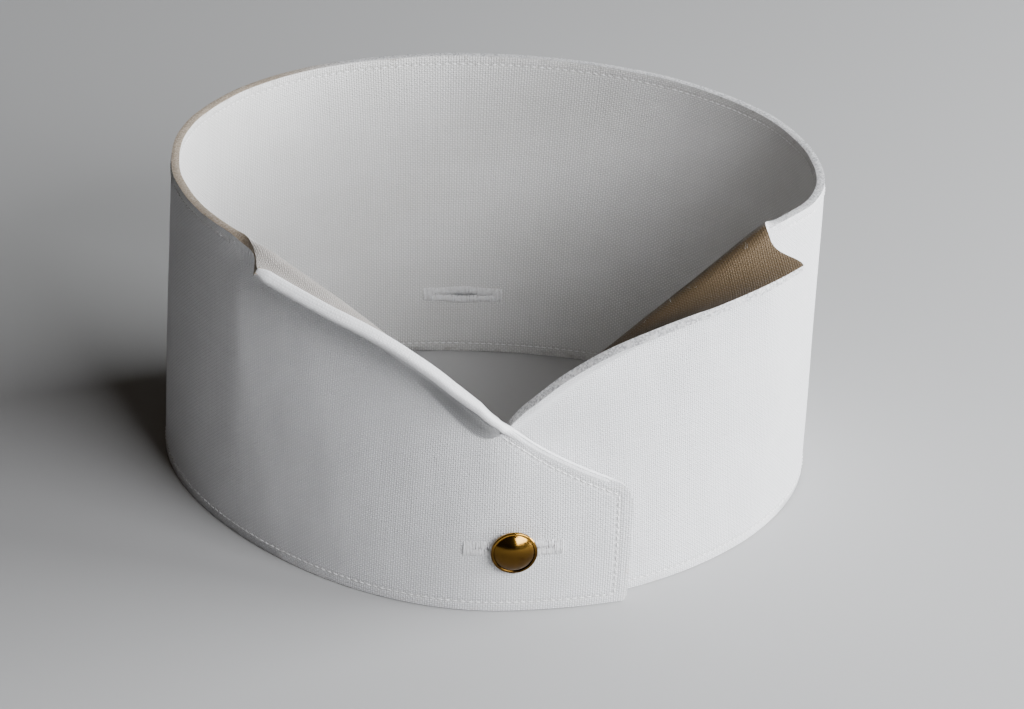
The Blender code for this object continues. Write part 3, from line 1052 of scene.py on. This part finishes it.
def round_row(first, last, height_at):
    """Evenly pitched places round the band, at the height that height_at gives."""
    count = round((first - last) / STITCH_PITCH)
    step = (last - first) / count
    for k in range(count):
        w = first + step * (k + 0.5)
        yield lambda w, h: wall(*half_of(w), h), np.array([w, height_at(w)]), np.array([step, 0])


def bottom_row():
    left_start, right_start = CREASES["left"]["from"][0], CREASES["right"]["from"][0]
    outer_end, under_end = TAB_END - LAP_END_STITCH, UNDER_END + LAP_END_STITCH
    yield from row_between(outer_lap, (outer_end, STITCH_IN), (left_start, STITCH_IN))
    yield from round_row(left_start, right_start - ROUND, lambda w: STITCH_IN)
    yield from row_between(under_lap, (right_start, STITCH_IN), (under_end, STITCH_IN))


def lap_rows(place, start, end):
    inward = -1 if end > start[0] else 1
    slope = math.atan2(start[2] - CORNER_HEIGHT, abs(end - start[0]))
    drop = LAP_TOP_STITCH / math.cos(slope)
    corner = end + inward * LAP_END_STITCH
    corner_top = lap_top(corner, start, end) - drop
    yield from row_between(place, (corner, STITCH_IN), (corner, corner_top))
    count = round(abs(corner - start[0]) / math.cos(slope) / STITCH_PITCH)
    step = (start[0] - corner) / count
    for k in range(count):
        w = corner + step * (k + 0.5)
        rise = lap_top(w + step / 2, start, end) - lap_top(w - step / 2, start, end)
        yield place, np.array([w, lap_top(w, start, end) - drop]), np.array([step, rise])


def rim_row():
    return round_row(-RIM_ROW_FROM, RIM_ROW_FROM - ROUND,
                     lambda w: rim(*half_of(w))[2] - STITCH_IN)


# %% The stitches
STITCH_SUNK = 0.04
STITCH_BULGE = 0.10


def stitch_rows():
    shape = bmesh.new()
    rows = [*bottom_row(), *rim_row(), *lap_rows(outer_lap, CREASES["left"]["from"], TAB_END),
            *lap_rows(under_lap, CREASES["right"]["from"], UNDER_END)]
    for face in (1, -1):
        for place, (w, height), (dw, dh) in rows:
            point, along, up, outward = face_frame(place, w, height, face, -STITCH_SUNK)
            run = unit(along * dw + up * dh) * STITCH_PITCH
            tilt = rng.normal(0, 0.05) * np.cross(outward, run)
            half = run * rng.uniform(0.36, 0.42) + tilt * 0.4
            radius = rng.uniform(0.15, 0.18)
            add_grain(shape, point - half, point + half, outward, radius, STITCH_BULGE)
    print(2 * len(rows), "stitches")
    return shape


def sewing_thread(name):
    finish = Finish(name, Specular_IOR_Level=0.5, Sheen_Weight=0.2)
    fibres = finish.speckle(finish.place(), 1500.0, 3.0, 0.6)
    white, grey = colour(0.84, 0.84, 0.85), colour(0.70, 0.69, 0.68)
    finish.set("Base Color", finish.mix(finish.step(fibres, 0.3, 0.75), white, grey))
    finish.set("Roughness", 0.50 + 0.25 * fibres)
    finish.raise_by(fibres, 0.05 * MM)
    return finish.material


thread = sewing_thread("white_thread")
edge_stitching = object_of("edge_stitching", stitch_rows(), thread)
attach(edge_stitching, "root")

# %% [markdown]
# ## Worked buttonholes
# A buttonhole is cut as a slit, and its raw edge is covered with threads laid side by side, all
# across the slit, with a longer block of them at each end as a bar. Each thread is again a grain,
# so the rows have the fine ribbing of the real thing. The slit opens only where the stud passes.

# %% Threads round a slit
LEG_WIDTH = 1.25
BAR_WIDTH = 1.7
BAR_REACH = 0.5
THREAD_PITCH = 0.30
THREAD_OVER_EDGE = 0.52
THREAD_LIFT = 0.02


def work_threads(shape, place, centre, length, wide, face):
    steps = round((length + 2 * BAR_REACH) / THREAD_PITCH)
    bar_half = SLOT_NARROW / 2 + LEG_WIDTH
    for k in range(steps + 1):
        x = -length / 2 - BAR_REACH + (length + 2 * BAR_REACH) * k / steps
        in_bar = abs(x) > length / 2 + BAR_REACH - BAR_WIDTH
        half = lens(min(abs(x), length / 2), wide)
        inner, outer = half - THREAD_OVER_EDGE, half + LEG_WIDTH
        for low, high in ((-bar_half, bar_half),) if in_bar else ((-outer, -inner), (inner, outer)):
            jitter = rng.normal(0, 0.05, 3)
            start, _, _, outward = face_frame(place, centre + x + jitter[0],
                                              SLOT_HEIGHT + low + jitter[1], face, THREAD_LIFT)
            end = face_frame(place, centre + x + jitter[0] * 0.5,
                             SLOT_HEIGHT + high + jitter[2], face, THREAD_LIFT)[0]
            radius, bulge = rng.uniform(0.16, 0.19), 0.30 if in_bar else 0.18
            add_grain(shape, start, end, outward, radius, bulge, rings=8)


def back_place(w, height):
    return wall("left", w, height) if w < 0 else wall("left", w - ROUND, height)


buttonholes = {
    "buttonhole_front": (outer_lap, SLOT_CENTRE, SLOT_LENGTH, SLOT_OPEN, (1,)),
    "buttonhole_under": (under_lap, SLOT_CENTRE, SLOT_LENGTH, SLOT_OPEN, (-1,)),
    "buttonhole_back": (back_place, BACK, BACK_SLOT_LENGTH, BACK_SLOT_OPEN, (1, -1)),
}
for node, (place, centre, length, wide, faces) in buttonholes.items():
    shape = bmesh.new()
    for face in faces:
        work_threads(shape, place, centre, length, wide, face)
    worked = object_of(node + "_threads", shape, thread)
    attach(worked, "root")
    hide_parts(node)
    print(worked.name, len(worked.data.polygons), "faces")

# %% [markdown]
# ## The stud
# The stud's head is a low dome stamped from brass sheet, with its edge rolled under into a thin
# bead. Turning a profile round an axis is how such a part is made, and a spin does the same here.
# The upper part of the dome is painted a bright gold, a painted highlight, and the lower part a
# dark brown, a painted shade, and fine scratches break up the highlight.

# %% The stud's metal
# Heights below which the head is painted in shade, and above which it is painted bright.
SHADE_BELOW = 14.5 * MM
HIGHLIGHT_ABOVE = 20.0 * MM


def old_brass(name):
    finish = Finish(name, Metallic=1.0)
    place = finish.place()
    rubbed = finish.speckle(place, 420.0, 5.0, 0.62)
    spots = finish.speckle(place, 1300.0, 3.0, 0.6)
    scratches = finish.speckle(finish.stretched(place, (260.0, 2600.0, 900.0)), 1.0, 3.0)
    height = finish.node("ShaderNodeSeparateXYZ", None, {0: place}, out=2)
    # Painted highlight on the upper part of the head, painted shade on the lower part.
    painted_light_above = finish.step(height + 0.002 * rubbed, SHADE_BELOW, HIGHLIGHT_ABOVE)
    brown, dark = colour(0.10, 0.052, 0.011), colour(0.055, 0.028, 0.006)
    shaded_metal = finish.mix(finish.step(rubbed, 0.35, 0.75), brown, dark)
    metal = finish.mix(painted_light_above, shaded_metal, colour(0.44, 0.24, 0.045))
    spotted = finish.mix(finish.step(spots, 0.60, 0.78) * 0.6, metal, colour(0.10, 0.055, 0.02))
    finish.set("Base Color", spotted)
    finish.set("Roughness", 0.11 + 0.12 * finish.step(rubbed, 0.4, 0.8) + 0.08 * scratches)
    finish.raise_by(0.5 * rubbed + 0.5 * scratches, 0.02 * MM)
    return finish.material


brass = old_brass("old_brass")

# %% A piece turned on the stud's axis
STUD_AXIS = outer_lap(SLOT_CENTRE, SLOT_HEIGHT)


def turned(name, profile, finish, steps=96):
    """A round piece, from rows of (radius, distance forwards)."""
    shape = bmesh.new()
    points = [shape.verts.new((radius, 0, forward)) for radius, forward in profile]
    for a, b in zip(points, points[1:]):
        shape.edges.new((a, b))
    bmesh.ops.spin(shape, geom=shape.verts[:] + shape.edges[:], cent=(0, 0, 0), axis=(0, 0, 1),
                   angle=2 * math.pi, steps=steps, use_merge=True)
    bmesh.ops.remove_doubles(shape, verts=shape.verts, dist=1e-4)
    bmesh.ops.recalc_face_normals(shape, faces=shape.faces)
    facing_front = Matrix.Rotation(math.pi / 2, 3, "X")
    bmesh.ops.rotate(shape, cent=(0, 0, 0), matrix=facing_front, verts=shape.verts)
    place = (STUD_AXIS[0], STUD_AXIS[1], SLOT_HEIGHT)
    bmesh.ops.translate(shape, vec=place, verts=shape.verts)
    made = object_of(name, shape, finish)
    made.data.set_sharp_from_angle(angle=math.radians(50))
    return made


# %% The head
HEAD_RADIUS = 4.7
BEAD_THICK = 0.37
BEAD_MIDDLE = HEAD_RADIUS - BEAD_THICK
DOME_RADIUS = 4.06
DOME_RISE = 1.55
BALL = (DOME_RADIUS**2 + DOME_RISE**2) / (2 * DOME_RISE)
NECK_RADIUS = 1.8
SEAT = WALL / 2 + 0.95
dome = [(r, SEAT + 0.72 + math.sqrt(BALL**2 - r * r) - BALL + DOME_RISE)
        for r in np.linspace(0, DOME_RADIUS, 24)]
bead = [(BEAD_MIDDLE + BEAD_THICK * math.cos(a), SEAT + 0.5 + BEAD_THICK * math.sin(a))
        for a in np.linspace(math.pi * 0.85, -math.pi / 2, 16)]
neck = [(NECK_RADIUS, SEAT + 0.12), (NECK_RADIUS, SEAT + 0.9), (0, SEAT + 0.9)]
stud_head = turned("stud_head_dome", dome + bead + neck, brass)
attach(stud_head, "root")
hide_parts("stud_head")
print("stud head", [round(side / MM, 1) for side in stud_head.dimensions], "mm")

# %% The shank and the foot keep their solids, with the same metal
for node in ("stud_shank", "stud_foot"):
    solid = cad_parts[node]
    solid.data.materials.clear()
    solid.data.materials.append(brass)
    solid.data.shade_smooth()
    solid.data.set_sharp_from_angle(angle=math.radians(40))
print("the shank and the foot are of", brass.name)

# %% [markdown]
# ## Loose fibres
# Old linen sheds. Some ninety short hairs stand off the edges, mostly along the folded wings, and
# they catch the light against a dark ground. They are thin tapered tubes that bend at random.

# %% A fibre
FIBRE_STEPS = 7
FIBRE_CORNERS = (0.0, 2.09, 4.19)


def add_fibre(shape, root, way, length, radius):
    points, heading = [root], unit(way)
    for _ in range(FIBRE_STEPS):
        heading = unit(heading + rng.normal(0, 0.22, 3))
        points.append(points[-1] + heading * length / FIBRE_STEPS)
    side = unit(np.cross(heading, (0.3, 0.2, 1.0)))
    other = np.cross(heading, side)
    loops = []
    for k, point in enumerate(points):
        thin = radius * (1.0 - 0.75 * k / FIBRE_STEPS)
        loops.append([shape.verts.new(point + thin * (math.cos(a) * side + math.sin(a) * other))
                      for a in FIBRE_CORNERS])
    skin(shape, loops)


# %% The fibres on the wings and along the rim
WING_FIBRES = {"left": 44, "right": 22}
RIM_FIBRES = 26


def fibres():
    shape = bmesh.new()
    for side, count in WING_FIBRES.items():
        for _ in range(count):
            share, across = rng.uniform(0.08, 0.97), rng.choice([0.30, 0.32, 0.96, 0.98])
            root = wing_point(side, share, across)
            outward = unit(root - wing_point(side, share, 0.0) + np.array([0.0, -0.2, 1.2]))
            way = outward + rng.normal(0, 0.5, 3)
            add_fibre(shape, root + outward * 0.7, way, rng.uniform(0.8, 2.4), 0.022)
    for _ in range(RIM_FIBRES):
        w = -rng.uniform(CREASE_END, ROUND - CREASE_END)
        root = rim(*half_of(w)) + np.array([0, 0, -0.2])
        way = np.array([0, 0, 1.0]) + rng.normal(0, 0.6, 3)
        add_fibre(shape, root, way, rng.uniform(0.6, 1.6), 0.02)
    return shape


loose_fibres = object_of("loose_fibres", fibres(), thread)
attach(loose_fibres, "root")
print("loose fibres", len(loose_fibres.data.polygons), "faces")

# %% [markdown]
# ## Floor, light and camera
# The collar is shown as in a studio, on a plain pale floor. One soft window of light stands in
# front and a little to the right, thirty degrees up. A second, longer and lower, stands on the
# right, and its grazing light brings out the weave. A weak warm light from above fills the
# shade. The camera stands a little to the left of the front, and looks down at less than thirty
# degrees through a long lens.

# %% The floor
FLOOR_BELOW = 0.2


def plain_floor():
    shape = bmesh.new()
    bmesh.ops.create_grid(shape, x_segments=1, y_segments=1, size=6000)
    finish = Finish("pale_floor", Roughness=0.85, Specular_IOR_Level=0.2)
    finish.set("Base Color", colour(0.47, 0.47, 0.47))
    made = object_of("floor", shape, finish.material)
    made.location.z = -FLOOR_BELOW * MM
    return made


floor = plain_floor()

# %% The lights
AIM = Vector((0.0, 0.0, 0.035))
COOL = (0.96, 0.98, 1.0)
WARM = (1.0, 0.78, 0.54)


def soft_light(name, azimuth, elevation, distance, size, power, tint):
    """A soft window of light. Azimuth 0 is in front of the stud, 90 on the collar's right."""
    lamp = bpy.data.lights.new(name, "AREA")
    lamp.shape = "RECTANGLE"
    lamp.size, lamp.size_y = size
    lamp.energy = power
    lamp.color = tint
    made = new_object(name, lamp)
    turn, rise = math.radians(azimuth), math.radians(elevation)
    level = math.cos(rise)
    way = Vector((math.sin(turn) * level, -math.cos(turn) * level, math.sin(rise)))
    made.location = AIM + way * distance
    made.rotation_euler = (-way).to_track_quat("-Z", "Y").to_euler()
    made.visible_camera = False


soft_light("window_front", 34, 30, 0.85, size=(0.60, 0.36), power=10.2, tint=(0.96, 0.97, 1.0))
soft_light("window_side", 88, 13, 0.80, size=(0.60, 0.28), power=21.0, tint=COOL)
soft_light("warm_fill", -60, 62, 1.3, size=(1.0, 1.0), power=0.25, tint=WARM)
world = bpy.data.worlds.new("studio")
world.use_nodes = True
background = world.node_tree.nodes["Background"]
background.inputs["Color"].default_value = (1.0, 0.90, 0.78, 1.0)
background.inputs["Strength"].default_value = 0.02
bpy.context.scene.world = world
print("lights:", [lamp.name for lamp in bpy.data.lights])

# %% The camera
CAMERA_AT = Vector((-91.4, -791.8, 460.0)) * MM
LOOKS_AT = Vector((2.1, -14.45, 36.0)) * MM
ROLL = math.radians(2.71)
lens_data = bpy.data.cameras.new("camera")
lens_data.sensor_width = 36.0
lens_data.lens = 153.05
camera = new_object("camera", lens_data)
camera.location = CAMERA_AT
level = (LOOKS_AT - CAMERA_AT).to_track_quat("-Z", "Y").to_matrix()
camera.rotation_euler = (level @ Matrix.Rotation(ROLL, 3, "Z")).to_euler()
bpy.context.scene.camera = camera
